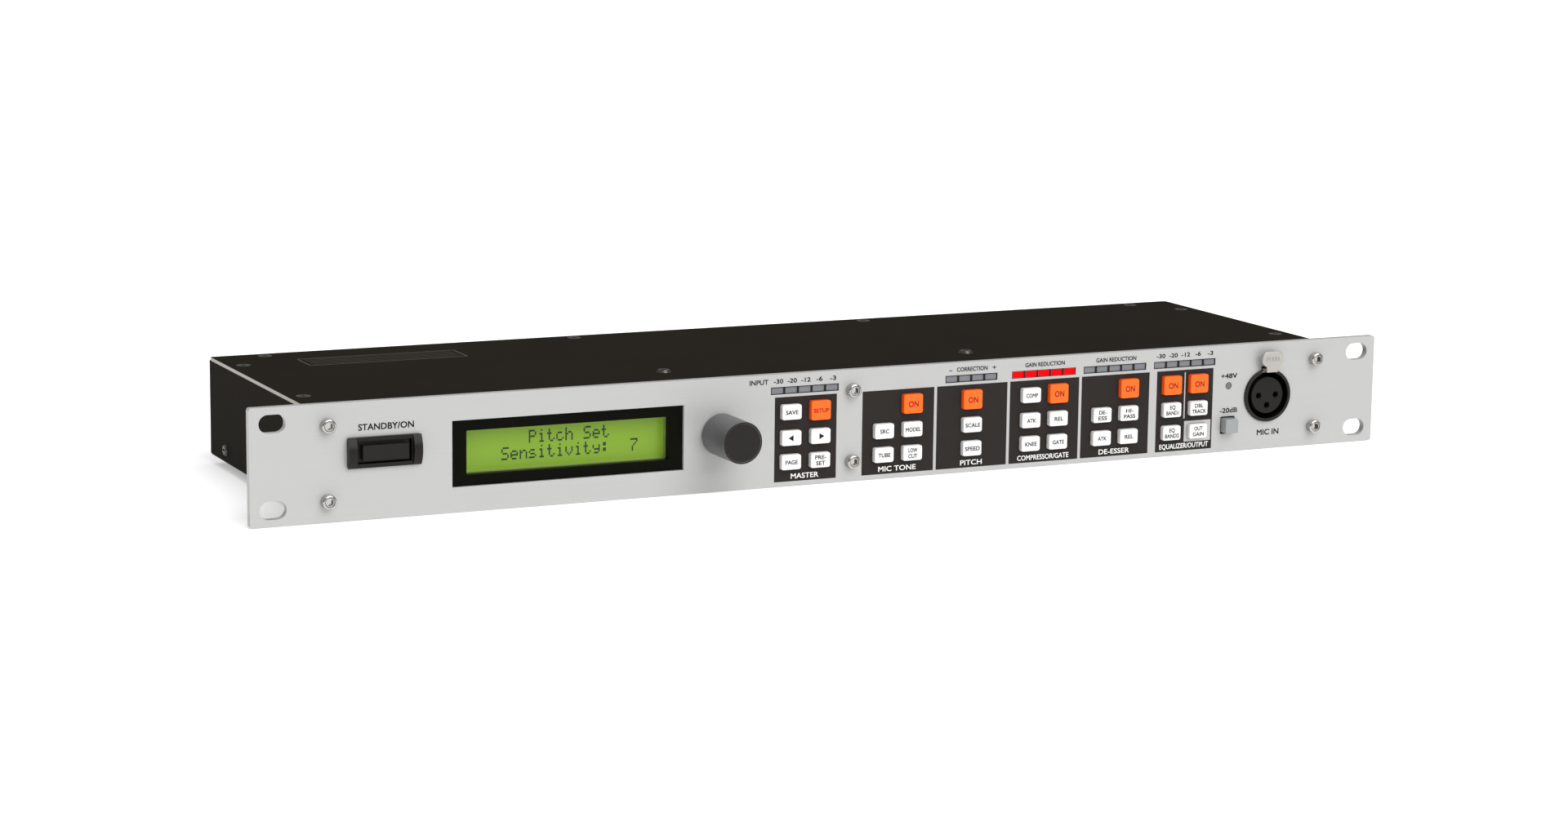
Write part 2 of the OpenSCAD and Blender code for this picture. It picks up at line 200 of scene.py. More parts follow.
def pick_faces(piece, wanted):
    """In edit mode, selects the faces whose middle and outward direction pass a test."""
    bpy.ops.mesh.select_mode(type="FACE")
    bpy.ops.mesh.select_all(action="DESELECT")
    shape = bmesh.from_edit_mesh(piece.data)
    found = [f for f in shape.faces if wanted(f.calc_center_median(), f.normal)]
    for face in found:
        face.select_set(True)
    bmesh.update_edit_mesh(piece.data)


def pick_edges(piece, wanted):
    """In edit mode, selects the edges whose middle and direction pass a test, and counts them."""
    bpy.ops.mesh.select_mode(type="EDGE")
    bpy.ops.mesh.select_all(action="DESELECT")
    shape = bmesh.from_edit_mesh(piece.data)
    found = []
    for edge in shape.edges:
        first, second = (end.co for end in edge.verts)
        if wanted((first + second) / 2, (second - first).normalized()):
            found.append(edge)
    for edge in found:
        edge.select_set(True)
    bmesh.update_edit_mesh(piece.data)
    return len(found)


def nudge(depth):
    """In edit mode, moves what is picked straight back by that much."""
    bpy.ops.transform.translate(value=(0.0, depth, 0.0))


def draw_out(depth):
    """In edit mode, extrudes the picked faces straight back by that much."""
    bpy.ops.mesh.extrude_region_move(TRANSFORM_OT_translate={"value": (0.0, depth, 0.0)})


print("bench tools ready")


# %% [markdown]
# ## Finishing a mesh
# Softened edges catch a thin line of light, which is what makes a moulded or machined
# part look real. Smooth shading alone would smear that line over the flat faces, so a
# weighted normal modifier keeps the large faces flat, and it is applied at once.


# %% Modifiers and shading
def apply_modifier(piece, kind, **settings):
    """Adds a modifier with these settings and applies it."""
    take(piece)
    modifier = piece.modifiers.new(kind.lower(), kind)
    for setting, value in settings.items():
        setattr(modifier, setting, value)
    bpy.ops.object.modifier_apply(modifier=modifier.name)


def smooth(piece, angle=35.0):
    """Shades a piece smooth over its soft edges and keeps its flat faces flat."""
    take(piece)
    bpy.ops.object.shade_smooth_by_angle(angle=math.radians(angle))
    apply_modifier(piece, "WEIGHTED_NORMAL", keep_sharp=True)


def cut(piece, cutter):
    """Takes the cutter's shape out of a piece."""
    apply_modifier(piece, "BOOLEAN", object=cutter, operation="DIFFERENCE", solver="EXACT")


def join(name, pieces):
    """Joins several pieces into one."""
    take(pieces[0])
    for piece in pieces[1:]:
        piece.select_set(True)
    if len(pieces) > 1:
        bpy.ops.object.join()
    pieces[0].name = name
    pieces[0].data.name = name
    return pieces[0]


def copied(piece, name, move):
    """A copy with its own mesh, moved by that much."""
    twin = bpy.data.objects.new(name, piece.data.copy())
    bpy.context.scene.collection.objects.link(twin)
    twin.data.name = name
    twin.data.transform(Matrix.Translation(move))
    return twin


def drop(piece):
    """Throws a master or a cutter away once it has done its work."""
    bpy.data.objects.remove(piece, do_unlink=True)


print("finishing tools ready")

# %% [markdown]
# ## Finishes
# No real surface has one flat colour. Each finish starts from the same recipe: a wide
# noise lets the colour drift a little, a fine noise makes the roughness uneven and
# raises a bump at the size of the real grain. Stretching the noise along one axis turns
# the same recipe into brushed metal. Everything reads Object coordinates, which are the
# true metres of the frame, so the grain has its real size on every part.

# %% The recipe for a finish
FINISHES = {}


def add(tree, kind, **inputs):
    """Adds a node and sets its named inputs."""
    node = tree.nodes.new(kind)
    for name, value in inputs.items():
        node.inputs[name.replace("_", " ")].default_value = value
    return node


def finish(slot, colour, rough=0.5, metal=0.0, drift=0.06, wide=60.0, grain=1500.0,
           stretch=(1.0, 1.0, 1.0), bump=0.1, spread=0.06, shine=0.5):
    """Makes the finish of one material slot."""
    material = bpy.data.materials.new(slot)
    material.use_nodes = True
    tree = material.node_tree
    shader = tree.nodes["Principled BSDF"]
    place = add(tree, "ShaderNodeTexCoord")
    turn = add(tree, "ShaderNodeMapping", Scale=stretch)
    tree.links.new(place.outputs["Object"], turn.inputs["Vector"])
    clouds = add(tree, "ShaderNodeTexNoise", Scale=wide, Detail=4.0)
    pores = add(tree, "ShaderNodeTexNoise", Scale=grain, Detail=3.0)
    for noise in (clouds, pores):
        tree.links.new(turn.outputs["Vector"], noise.inputs["Vector"])
    blend = tree.nodes.new("ShaderNodeMix")
    blend.data_type = "RGBA"
    blend.name = "colour drift"
    blend.inputs["A"].default_value = (*[c * (1.0 - drift) for c in colour], 1.0)
    blend.inputs["B"].default_value = (*[min(1.0, c * (1.0 + drift)) for c in colour], 1.0)
    tree.links.new(clouds.outputs["Fac"], blend.inputs["Factor"])
    tree.links.new(blend.outputs["Result"], shader.inputs["Base Color"])
    uneven = tree.nodes.new("ShaderNodeMapRange")
    uneven.inputs["To Min"].default_value = max(0.02, rough - spread)
    uneven.inputs["To Max"].default_value = min(1.0, rough + spread)
    tree.links.new(pores.outputs["Fac"], uneven.inputs["Value"])
    tree.links.new(uneven.outputs["Result"], shader.inputs["Roughness"])
    raised = add(tree, "ShaderNodeBump", Strength=bump, Distance=0.0001)
    tree.links.new(pores.outputs["Fac"], raised.inputs["Height"])
    tree.links.new(raised.outputs["Normal"], shader.inputs["Normal"])
    shader.inputs["Metallic"].default_value = metal
    shader.inputs["Specular IOR Level"].default_value = shine
    FINISHES[slot] = material


def axes_of(tree, space="Object"):
    """The three coordinates of a point, one output each."""
    place = add(tree, "ShaderNodeTexCoord")
    axes = add(tree, "ShaderNodeSeparateXYZ")
    tree.links.new(place.outputs[space], axes.inputs["Vector"])
    return axes.outputs


def maths(tree, operation, first, second=None):
    """Works one sum on an output, with a second output or with a plain number."""
    sum_node = add(tree, "ShaderNodeMath")
    sum_node.operation = operation
    tree.links.new(first, sum_node.inputs[0])
    if isinstance(second, float):
        sum_node.inputs[1].default_value = second
    elif second is not None:
        tree.links.new(second, sum_node.inputs[1])
    return sum_node.outputs["Value"]


def recolour(slot, factor, colour, drift_at):
    """Blends a colour with a finish's own drift, which stands at end A or end B."""
    tree = FINISHES[slot].node_tree
    blend = tree.nodes.new("ShaderNodeMix")
    blend.data_type = "RGBA"
    blend.inputs["B" if drift_at == "A" else "A"].default_value = (*colour, 1.0)
    tree.links.new(factor, blend.inputs["Factor"])
    tree.links.new(tree.nodes["colour drift"].outputs["Result"], blend.inputs[drift_at])
    tree.links.new(blend.outputs["Result"], tree.nodes["Principled BSDF"].inputs["Base Color"])


def glow(slot, colour, strength):
    """Lets a finish give off a little light, as a lamp behind it does."""
    shader = FINISHES[slot].node_tree.nodes["Principled BSDF"]
    shader.inputs["Emission Color"].default_value = (*colour, 1.0)
    shader.inputs["Emission Strength"].default_value = strength


print("recipe ready")

# %% [markdown]
# The metals come first. The panel is aluminium that was drawn through a belt, so its
# noise is stretched far along the width. The panel's screws are bright nickel and the
# lid's screws are blackened.

# %% Metals
finish("panel_aluminium", (0.415, 0.415, 0.41), rough=0.42, metal=0.2, drift=0.035, wide=1.0,
       grain=2.0, stretch=(22.0, 22.0, 1500.0), bump=0.07, spread=0.06, shine=0.45)
finish("bright_steel", (0.45, 0.44, 0.42), rough=0.18, metal=1.0, drift=0.05, bump=0.03)
finish("dark_steel", (0.068, 0.064, 0.057), rough=0.30, metal=0.9, drift=0.15, bump=0.06)
finish("latch_nickel", (0.41, 0.395, 0.36), rough=0.36, metal=0.7, drift=0.05, grain=2600.0,
       bump=0.05)
finish("module_metal", (0.48, 0.48, 0.47), rough=0.38, metal=0.9, drift=0.06, bump=0.04)
print("metals:", sorted(FINISHES))

# %% [markdown]
# Painted steel has a fine orange-peel grain and hardly any mirror shine. The lid's two side
# edges are painted a light grey strip: that is chosen by how far out and how high a point
# is, with no need for a second piece.

# %% Black paint with light grey side edges
LID_SIDE_FOOT = 19.0 * MM
GREY_EDGE_FROM = 217.85 * MM
finish("cover_black", (0.0128, 0.0106, 0.0074), rough=0.7, drift=0.12, wide=35.0,
       grain=2400.0, bump=0.16, spread=0.08, shine=0.02)
tree = FINISHES["cover_black"].node_tree
axes = axes_of(tree)
from_middle = maths(tree, "ABSOLUTE", axes["X"])
past_edge = maths(tree, "GREATER_THAN", from_middle, GREY_EDGE_FROM)
above = maths(tree, "GREATER_THAN", axes["Z"], LID_SIDE_FOOT)
recolour("cover_black", maths(tree, "MULTIPLY", past_edge, above), (0.5, 0.48, 0.45), "A")
print("paint ready")

# %% [markdown]
# The plastics differ mostly in their shine: a matt moulding for the key caps and the
# switch surround, a glossy one for the display's frame. The lit caps and the red meter
# have a lamp behind them, so they give off a little of their own colour.

# %% Plastics and lamps
finish("black_plastic", (0.0098, 0.0088, 0.0076), rough=0.33, drift=0.12, bump=0.06, shine=0.16)
finish("switch_plastic", (0.007, 0.0058, 0.0045), rough=0.32, drift=0.12, bump=0.05, shine=0.08)
finish("window_black", (0.003, 0.0029, 0.0018), rough=0.2, drift=0.1, bump=0.01, shine=0.03)
finish("knob_grey", (0.075, 0.074, 0.078), rough=0.38, drift=0.08, grain=2200.0, bump=0.06,
       shine=0.6)
finish("knob_disc", (0.019, 0.0165, 0.0165), rough=0.5, drift=0.1, grain=2600.0, bump=0.05,
       shine=0.08)
finish("key_white", (0.73, 0.73, 0.715), rough=0.40, drift=0.03, bump=0.03, shine=0.35)
finish("key_orange", (0.86, 0.115, 0.010), rough=0.38, drift=0.05, bump=0.03, shine=0.2)
finish("segment_grey", (0.165, 0.168, 0.185), rough=0.35, drift=0.06, bump=0.03, shine=0.3)
finish("segment_red", (0.66, 0.002, 0.003), rough=0.4, drift=0.06, bump=0.02, shine=0.02)
finish("lamp_grey", (0.11, 0.108, 0.112), rough=0.25, drift=0.08, bump=0.02)
finish("pad_grey", (0.255, 0.265, 0.268), rough=0.35, drift=0.04, bump=0.03, shine=0.4)
finish("socket_black", (0.0045, 0.0042, 0.0035), rough=0.17, drift=0.1, bump=0.03, shine=0.25)
finish("insert_black", (0.0105, 0.009, 0.0072), rough=0.5, drift=0.1, bump=0.05, shine=0.15)
finish("board_green", (0.02, 0.09, 0.035), rough=0.45, drift=0.2, wide=150.0, bump=0.05)
glow("key_orange", (1.0, 0.11, 0.01), 0.22)
glow("segment_red", (1.0, 0.0, 0.004), 0.7)
print("plastics ready")

# %% [markdown]
# The lamp stands behind the front of a lit cap, so less of its light reaches the cap's
# sides, and they carry painted shade: a deeper orange than the face. How far a point is
# from the front decides between the two.

# %% Painted shade on the sides of the lit caps
SHADED_SIDES_FROM = -4.3 * MM
FACE_FROM = -4.95 * MM
tree = FINISHES["key_orange"].node_tree
towards_face = tree.nodes.new("ShaderNodeMapRange")
towards_face.inputs["From Min"].default_value = SHADED_SIDES_FROM
towards_face.inputs["From Max"].default_value = FACE_FROM
tree.links.new(axes_of(tree)["Y"], towards_face.inputs["Value"])
# The deeper orange on the sides is painted shade.
recolour("key_orange", towards_face.outputs["Result"], (0.60, 0.062, 0.006), "B")
print("lit caps ready")

# %% [markdown]
# The liquid crystal cell glows yellow-green from its back light. The dots that are off
# show as a faint grid, made from two waves at the pitch of the dots, one across and one
# up, so that the cell isn't a flat sheet of colour.

# %% The display's glow
DOT_ACROSS = 0.60 * MM
DOT_UP = 0.70 * MM
finish("lcd_green", (0.155, 0.275, 0.015), rough=0.30, drift=0.07, wide=25.0, bump=0.01, shine=0.3)
tree = FINISHES["lcd_green"].node_tree
axes = axes_of(tree)
waves = []
for axis, pitch in (("X", DOT_ACROSS), ("Z", DOT_UP)):
    turns = maths(tree, "MULTIPLY", axes[axis], 2.0 * math.pi / pitch)
    waves.append(maths(tree, "SINE", turns))
faint = tree.nodes.new("ShaderNodeMapRange")
faint.inputs["From Min"].default_value = -1.0
faint.inputs["To Min"].default_value = 0.93
tree.links.new(maths(tree, "MULTIPLY", *waves), faint.inputs["Value"])
recolour("lcd_green", faint.outputs["Result"], (0.0, 0.0, 0.0), "B")
glow("lcd_green", (0.30, 0.52, 0.045), 0.13)
print("display finish ready")

# %% [markdown]
# Printing ink lies on top of the metal or the plastic. It is matt and nearly even, with
# a very fine grain.

# %% Inks
finish("print_charcoal", (0.0180, 0.0150, 0.0134), rough=0.55, drift=0.06, wide=120.0,
       bump=0.03, shine=0.12)
finish("print_black", (0.008, 0.0075, 0.0075), rough=0.55, drift=0.05, bump=0.02, shine=0.15)
finish("print_white", (0.82, 0.82, 0.80), rough=0.5, drift=0.03, bump=0.02, shine=0.2)
finish("print_red", (0.22, 0.004, 0.005), rough=0.5, drift=0.05, bump=0.02, shine=0.2)
print(len(FINISHES), "finishes")


# %% [markdown]
# ## Dressing pieces
# Every new piece has a finish, a body that it moves with and the slot its finish comes
# from, and may stand for a node of the frame, which is then hidden. One small call does
# all of this, so none is forgotten. The frame's own nodes get their finishes in a loop.


# %% Dress a piece
def dress(piece, body, slot, *nodes):
    """Gives a piece its finish from its slot and its body, and hides the nodes that it stands for.
    """
    piece.data.materials.clear()
    piece.data.materials.append(FINISHES[slot])
    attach(piece, body)
    if nodes:
        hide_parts(*nodes)
    return piece


for name, node in NODES.items():
    node.data.materials.clear()
    node.data.materials.append(FINISHES[SLOT_OF[name]])
print("dressed", len(NODES), "frame nodes")


# %% [markdown]
# ## Parts that only need softer edges
# A few parts have the right shape in the frame and only their edges are too sharp. Such
# a part is copied, its loose triangles are merged and its flat faces made whole, and
# then its sharp edges are bevelled, as a deburring tool or a mould's radius leaves them.
# The segments of the meters are swelled a little as well, so that they fill their windows.


# %% A softened copy
MERGE = 0.002 * MM
FLAT = math.radians(0.5)
SHARP = math.radians(32.0)


def reopened(node, name):
    """A copy of a node with its flat faces made whole, left open in edit mode."""
    piece = bpy.data.objects.new(name, NODES[node].data.copy())
    bpy.context.scene.collection.objects.link(piece)
    piece.data.name = name
    open_up(piece)
    bpy.ops.mesh.select_all(action="SELECT")
    bpy.ops.mesh.remove_doubles(threshold=MERGE)
    bpy.ops.mesh.dissolve_limited(angle_limit=FLAT)
    return piece


def softened(node, name, width):
    """A copy of a node with its sharp edges bevelled by that width."""
    piece = reopened(node, name)
    bpy.ops.mesh.select_mode(type="EDGE")
    bpy.ops.mesh.select_all(action="DESELECT")
    bpy.ops.mesh.edges_select_sharp(sharpness=SHARP)
    bpy.ops.mesh.bevel(offset=width, segments=2, affect="EDGES", clamp_overlap=True)
    close()
    smooth(piece)
    return dress(piece, NODES[node]["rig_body"], SLOT_OF[node], node)


SWELL = 0.14 * MM
for node, width in (
    ("power_bezel", 0.30),
    ("power_button", 0.25),
    ("display_window", 0.30),
    ("pad_button", 0.45),
    ("mic_shell", 0.35),
    ("mic_insert", 0.20),
    ("mic_latch", 0.30),
    ("phantom_lamp", 0.25),
    ("meter_segments", 0.06),
    ("meter_segments_lit", 0.06),
):
    made = softened(node, node + "_shaped", width * MM)
    if node.startswith("meter"):
        apply_modifier(made, "DISPLACE", strength=SWELL, mid_level=0.0)
    print(made.name, len(made.data.polygons), "faces")

# %% [markdown]
# ## The front panel
# The panel is sawn and punched from 3 mm aluminium plate, and its outline and rack slots
# are broken by hand, so only those edges get a small chamfer. The face is cut into
# triangles first, so that no edge of the chamfer ends in the middle of a face. The holes
# behind the keys and meters stay sharp, as a punch leaves them.

# %% Chamfer the panel
panel_low, panel_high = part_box("front_panel")
FRONT = panel_low.y
EAR_FROM = 219.0 * MM
RIM_REACH = 0.32 * MM
CHAMFER = 0.22 * MM
panel = reopened("front_panel", "front_panel_chamfered")
bpy.ops.mesh.quads_convert_to_tris(quad_method="BEAUTY", ngon_method="BEAUTY")


def on_outline(middle, way):
    """Whether an edge of the front face belongs to the outline or to a rack slot."""
    level_face = abs(way.y) < 0.01 and abs(middle.y - FRONT) < HAIR
    rim = panel_high.z - abs(middle.z) < RIM_REACH or abs(middle.x) > EAR_FROM
    return level_face and rim


rims = pick_edges(panel, on_outline)
bpy.ops.mesh.select_mode(type="EDGE")
for edge in bmesh.from_edit_mesh(panel.data).edges:
    flat = len(edge.link_faces) == 2 and edge.calc_face_angle(0.0) < 0.5
    if edge.select and flat:
        edge.select_set(False)
bmesh.update_edit_mesh(panel.data)
bpy.ops.mesh.bevel(offset=CHAMFER, segments=2, affect="EDGES", clamp_overlap=True)
close()
dress(panel, "chassis", "panel_aluminium", "front_panel")
print("panel:", rims, "rim edges,", len(panel.data.polygons), "faces")

# %% [markdown]
# ## Key caps
# A cap is a small moulded box with rounded corners and a soft front rim. Behind the
# panel it has a flange that keeps it in, and a stem that works its switch. One plain cap
# and one taller lit cap are modelled, and the others are copies moved into place.

# %% Model a cap
FLANGE = 0.8 * MM
FLANGE_FRONT = 0.1 * MM
STEM = 2.2 * MM
CAP_CORNER = 0.9 * MM
CAP_RIM = 0.42 * MM
CAP_DISH = 0.05 * MM


def make_cap(name, node):
    """Models one cap over a key of the frame."""
    low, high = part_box(node)
    wide = high.x - low.x - 2 * FLANGE
    tall = high.z - low.z - 2 * FLANGE
    middle = (low + high) / 2
    corner = Vector((wide / 2, 0.0, tall / 2))
    start = Vector((middle.x, low.y, middle.z)) - corner
    end = Vector((middle.x, FLANGE_FRONT, middle.z)) + corner
    cap = block(name, start, end)
    open_up(cap)
    pick_edges(cap, lambda at, way: abs(way.y) > 0.9)
    bpy.ops.mesh.bevel(offset=CAP_CORNER, segments=5, affect="EDGES")
    pick_edges(cap, lambda at, way: abs(way.y) < 0.1 and at.y < low.y + HAIR)
    bpy.ops.mesh.bevel(offset=CAP_RIM, segments=4, affect="EDGES")
    pick_faces(cap, lambda at, way: way.y < -0.99 and at.y < low.y + HAIR)
    bpy.ops.mesh.inset(thickness=0.35 * MM)
    nudge(CAP_DISH)
    pick_faces(cap, lambda at, way: way.y > 0.99)
    behind = Vector((middle.x, FLANGE_FRONT, middle.z))
    widen = (1 + 2 * FLANGE / wide, 1.0, 1 + 2 * FLANGE / tall)
    bpy.ops.mesh.extrude_region_move()
    bpy.ops.transform.resize(value=widen, center_override=behind)
    draw_out(FLANGE)
    narrow = (STEM / (wide + 2 * FLANGE), 1.0, STEM / (tall + 2 * FLANGE))
    bpy.ops.mesh.extrude_region_move()
    bpy.ops.transform.resize(value=narrow, center_override=behind + Vector((0, FLANGE, 0)))
    draw_out(high.y - FLANGE_FRONT - FLANGE)
    close()
    smooth(cap, 40.0)
    return cap


plain_cap = make_cap("plain_cap", "key_save")
lit_cap = make_cap("lit_cap", "key_setup")
print("caps:", len(plain_cap.data.polygons), "and", len(lit_cap.data.polygons), "faces")

# %% [markdown]
# The lit keys are the ones whose slot is the orange one, so the frame itself says which
# master each key is copied from.

# %% Set the caps in their holes
KEYS = [name for name in NODES if name.startswith("key_") and name != "key_board"]


def centre(node):
    """The middle of a node's box."""
    low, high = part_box(node)
    return (low + high) / 2


for name in KEYS:
    lit = SLOT_OF[name] == "key_orange"
    master = lit_cap if lit else plain_cap
    home = centre("key_setup" if lit else "key_save")
    cap = copied(master, name + "_cap", centre(name) - home)
    dress(cap, name, SLOT_OF[name], name)
drop(plain_cap)
drop(lit_cap)
print("set", len(KEYS), "caps")

# %% [markdown]
# ## The data knob
# The knob is a plain turned cap with a fine chamfer. Its front face is a pressed-in disc
# that stands back a hair from the rim, which gives the thin bright ring round it. The
# skirt is hollow behind and leaves a small gap to the panel. A hub in the hollow is bored
# for the encoder's shaft, which stays the frame's own part.

# %% Turn the knob
SKIRT_WALL = 1.0 * MM
HOLLOW = 8.0 * MM
HUB_GAP = 3.2 * MM
HUB_LONG = 5.1 * MM
BORE_PAST = 0.1 * MM
DISC_BACK = 0.12 * MM
knob_low, knob_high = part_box("data_knob")
shaft_low, shaft_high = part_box("encoder_shaft")
knob_middle = centre("data_knob")
knob_radius = (knob_high.x - knob_low.x) / 2
hub_radius = knob_radius - SKIRT_WALL - HUB_GAP
bore_radius = (shaft_high.x - shaft_low.x) / 2 + 0.03 * MM
hub_end = knob_high.y - HOLLOW + HUB_LONG
knob = rod("data_knob_turned", knob_middle.x, knob_middle.z, knob_radius, knob_low.y,
           knob_high.y, sides=128)
open_up(knob)
pick_edges(knob, lambda at, way: abs(way.y) < 0.1 and at.y < knob_low.y + HAIR)
bpy.ops.mesh.bevel(offset=0.45 * MM, segments=3, affect="EDGES")
pick_edges(knob, lambda at, way: abs(way.y) < 0.1 and at.y > knob_high.y - HAIR)
bpy.ops.mesh.bevel(offset=0.3 * MM, segments=2, affect="EDGES")
pick_faces(knob, lambda at, way: way.y < -0.99)
bpy.ops.mesh.inset(thickness=0.30 * MM)
bpy.ops.mesh.inset(thickness=0.12 * MM)
nudge(DISC_BACK)
pick_faces(knob, lambda at, way: way.y > 0.99)
bpy.ops.mesh.inset(thickness=SKIRT_WALL)
draw_out(-HOLLOW)
bpy.ops.mesh.inset(thickness=HUB_GAP)
draw_out(HUB_LONG)
bpy.ops.mesh.inset(thickness=hub_radius - bore_radius)
draw_out(shaft_low.y - BORE_PAST - hub_end)
close()
smooth(knob, 40.0)
dress(knob, "data_knob", "knob_grey", "data_knob")
knob.data.materials.append(FINISHES["knob_disc"])
open_up(knob)
pick_faces(knob, lambda at, way: way.y < -0.9 and at.y < knob_low.y + 0.2 * MM
           and math.hypot(at.x - knob_middle.x, at.z - knob_middle.z) < knob_radius - 0.25 * MM)
knob.active_material_index = 1
bpy.ops.object.material_slot_assign()
close()
print("knob:", len(knob.data.polygons), "faces")

# %% [markdown]
# ## Socket screws
# Six small cap screws hold the panel. A head is a short cylinder with a rounded crown
# and a hexagon socket in a shallow dish. The socket is cut with a six-sided bar, by a
# boolean modifier, because a hexagon can't be inset from a round face. The walls of the
# dish and the socket get the darker steel as painted shade, because less light gets in there.

# %% Cut one screw and copy it
HEAD_RADIUS = 2.75 * MM
HEAD_HIGH = 3.0 * MM
SHANK = 8.0 * MM
DISH_RADIUS = 1.97 * MM
screw_spots = [Vector((x, 0.0, z)) * MM for x in (-212.0, 0.0, 212.0) for z in (-14.0, 14.0)]
screw = rod("cap_screw", 0.0, 0.0, HEAD_RADIUS, FRONT - HEAD_HIGH, FRONT, sides=48)
crown = FRONT - HEAD_HIGH
open_up(screw)
pick_edges(screw, lambda at, way: abs(way.y) < 0.1 and at.y < crown + HAIR)
bpy.ops.mesh.bevel(offset=0.75 * MM, segments=6, affect="EDGES")
pick_faces(screw, lambda at, way: way.y < -0.999 and at.y < crown + HAIR)
bpy.ops.mesh.inset(thickness=0.05 * MM)
bpy.ops.mesh.inset(thickness=0.28 * MM)
nudge(0.22 * MM)
pick_faces(screw, lambda at, way: way.y > 0.99)
bpy.ops.mesh.inset(thickness=0.25 * MM)
bpy.ops.mesh.inset(thickness=1.15 * MM)
draw_out(SHANK)
close()
key_bar = rod("key_bar", 0.0, 0.0, 1.5 * MM, crown - 1.0 * MM, crown + 1.5 * MM, sides=6)
cut(screw, key_bar)
drop(key_bar)
smooth(screw, 35.0)
heads = [copied(screw, "screw_copy", spot) for spot in screw_spots]
drop(screw)
screws = join("cap_screws", heads)
dress(screws, "chassis", "bright_steel", "panel_screws")
# The dark steel on the walls of the dish and the socket is painted shade.
screws.data.materials.append(FINISHES["dark_steel"])
open_up(screws)
pick_faces(screws, lambda at, way: at.y > crown + 0.02 * MM and abs(way.y) < 0.9
           and min(math.hypot(at.x - s.x, at.z - s.z) for s in screw_spots) < DISH_RADIUS)
screws.active_material_index = 1
bpy.ops.object.material_slot_assign()
close()
print("screws:", len(screws.data.polygons), "faces")

# %% [markdown]
# ## Printed fields
# The dark fields round the keys are screen printed. Each is a very thin plate that lies
# in the face of the panel, with the key holes cut out of it by a boolean modifier. One
# set of rounded cutters serves all the fields. INK is how far a print stands out of its
# surface, and SUNK is how far it reaches into it.

# %% Make the cutters for the key holes
INK = 0.03 * MM
SUNK = 0.02 * MM
CUTTER_REACH = 1.0 * MM
HOLE_CORNER = 1.0 * MM
HOLE_GAP = 0.2 * MM
cutters = []
for name in KEYS:
    low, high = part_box(name)
    grow = FLANGE - HOLE_GAP
    cutter = block(
        "cutter",
        (low.x + grow, FRONT - CUTTER_REACH, low.z + grow),
        (high.x - grow, FRONT + CUTTER_REACH, high.z - grow),
    )
    open_up(cutter)
    pick_edges(cutter, lambda at, way: abs(way.y) > 0.9)
    bpy.ops.mesh.bevel(offset=HOLE_CORNER, segments=6, affect="EDGES")
    close()
    cutters.append(cutter)
cutter_set = join("key_hole_cutters", cutters)
print("cutters:", len(cutter_set.data.polygons), "faces")

# %% [markdown]
# The fields stand in line: a narrow one for the master keys, four equal ones, and the
# one for the equalizer and the output, which has a silver slit between its columns and a
# silver window round the output gain key.

# %% Print the fields
FIELD_FOOT = -20.1
FIELD_TOP = 13.0


def slab(name, left, right, foot, top, proud=INK):
    """A thin plate on the panel between these sides, given in millimetres."""
    return block(
        name,
        (left * MM, FRONT - proud, foot * MM),
        (right * MM, FRONT + SUNK, top * MM),
    )


def print_field(name, left, right, openings=()):
    """A printed field with its key holes and any further openings cut out."""
    field = slab(name, left, right, FIELD_FOOT, FIELD_TOP)
    for cutter in (cutter_set, *openings):
        cut(field, cutter)
    dress(field, "chassis", "print_charcoal")
    print(name, len(field.data.polygons), "faces")


print_field("field_master", -33.0, -6.6)
FIELD_WIDTH = 31.3
FIELD_PITCH = 32.55
FIRST_FIELD = 20.15
for number, name in enumerate(("mic_tone", "pitch", "compressor", "de_esser")):
    middle = FIRST_FIELD + number * FIELD_PITCH
    print_field("field_" + name, middle - FIELD_WIDTH / 2, middle + FIELD_WIDTH / 2)
slit = slab("slit", 149.95, 150.5, -7.0, 12.0, proud=CUTTER_REACH)
gain_window = slab("gain_window", 150.4, 162.9, -16.6, -8.1, proud=CUTTER_REACH)
print_field("field_equalizer", 137.0, 163.5, (slit, gain_window))
for cutter in (slit, gain_window, cutter_set):
    drop(cutter)

# %% [markdown]
# ## Lettering
# All words on the unit are plain control names. A word is typed as a text object, made
# a mesh before it is placed, and scaled so that its capitals have the height, and the
# whole word the width, that the print has. It is laid a few hundredths of a millimetre
# proud of the surface, as ink is. Ink spreads, so a word is struck four times, each time
# a little to one side, which thickens its strokes.

# %% Type a word
CAPITAL = 0.682
LAYER = 0.002 * MM
CORNERS = ((-1, -1), (-1, 1), (1, -1), (1, 1))


def word(text, x, foot, height, width=None, face=FRONT, bold=0.022, proud=INK, rear=False):
    """A word in mesh, centred at x with its capitals on a foot line, in millimetres."""
    clear()
    bpy.ops.object.text_add()
    thin = bpy.context.object
    thin.data.body = text
    thin.data.resolution_u = 3
    bpy.ops.object.convert(target="MESH")
    thin = bpy.context.object
    strokes = []
    for number, (right, rise) in enumerate(CORNERS):
        strokes.append(copied(thin, "stroke", (right * bold, rise * bold, number * LAYER)))
    drop(thin)
    sign = join("sign", strokes)
    across = [point.co.x for point in sign.data.vertices]
    natural = max(across) - min(across)
    up = height / (CAPITAL + 2 * bold)
    along = width / natural if width else up
    shift = -(max(across) + min(across)) / 2 * along
    sign.data.transform(Matrix.Diagonal((along * MM, up * MM, 1.0, 1.0)))
    apply_modifier(sign, "SOLIDIFY", thickness=proud + SUNK, offset=0.0)
    way = -1.0 if rear else 1.0
    turn = Matrix.Rotation(math.radians(90.0), 4, "X")
    if rear:
        turn = Matrix.Rotation(math.radians(180.0), 4, "Z") @ turn
    depth = face - way * (proud - SUNK) / 2
    spot = Vector(((x + way * shift) * MM, depth, foot * MM))
    sign.data.transform(Matrix.Translation(spot) @ turn)
    return sign


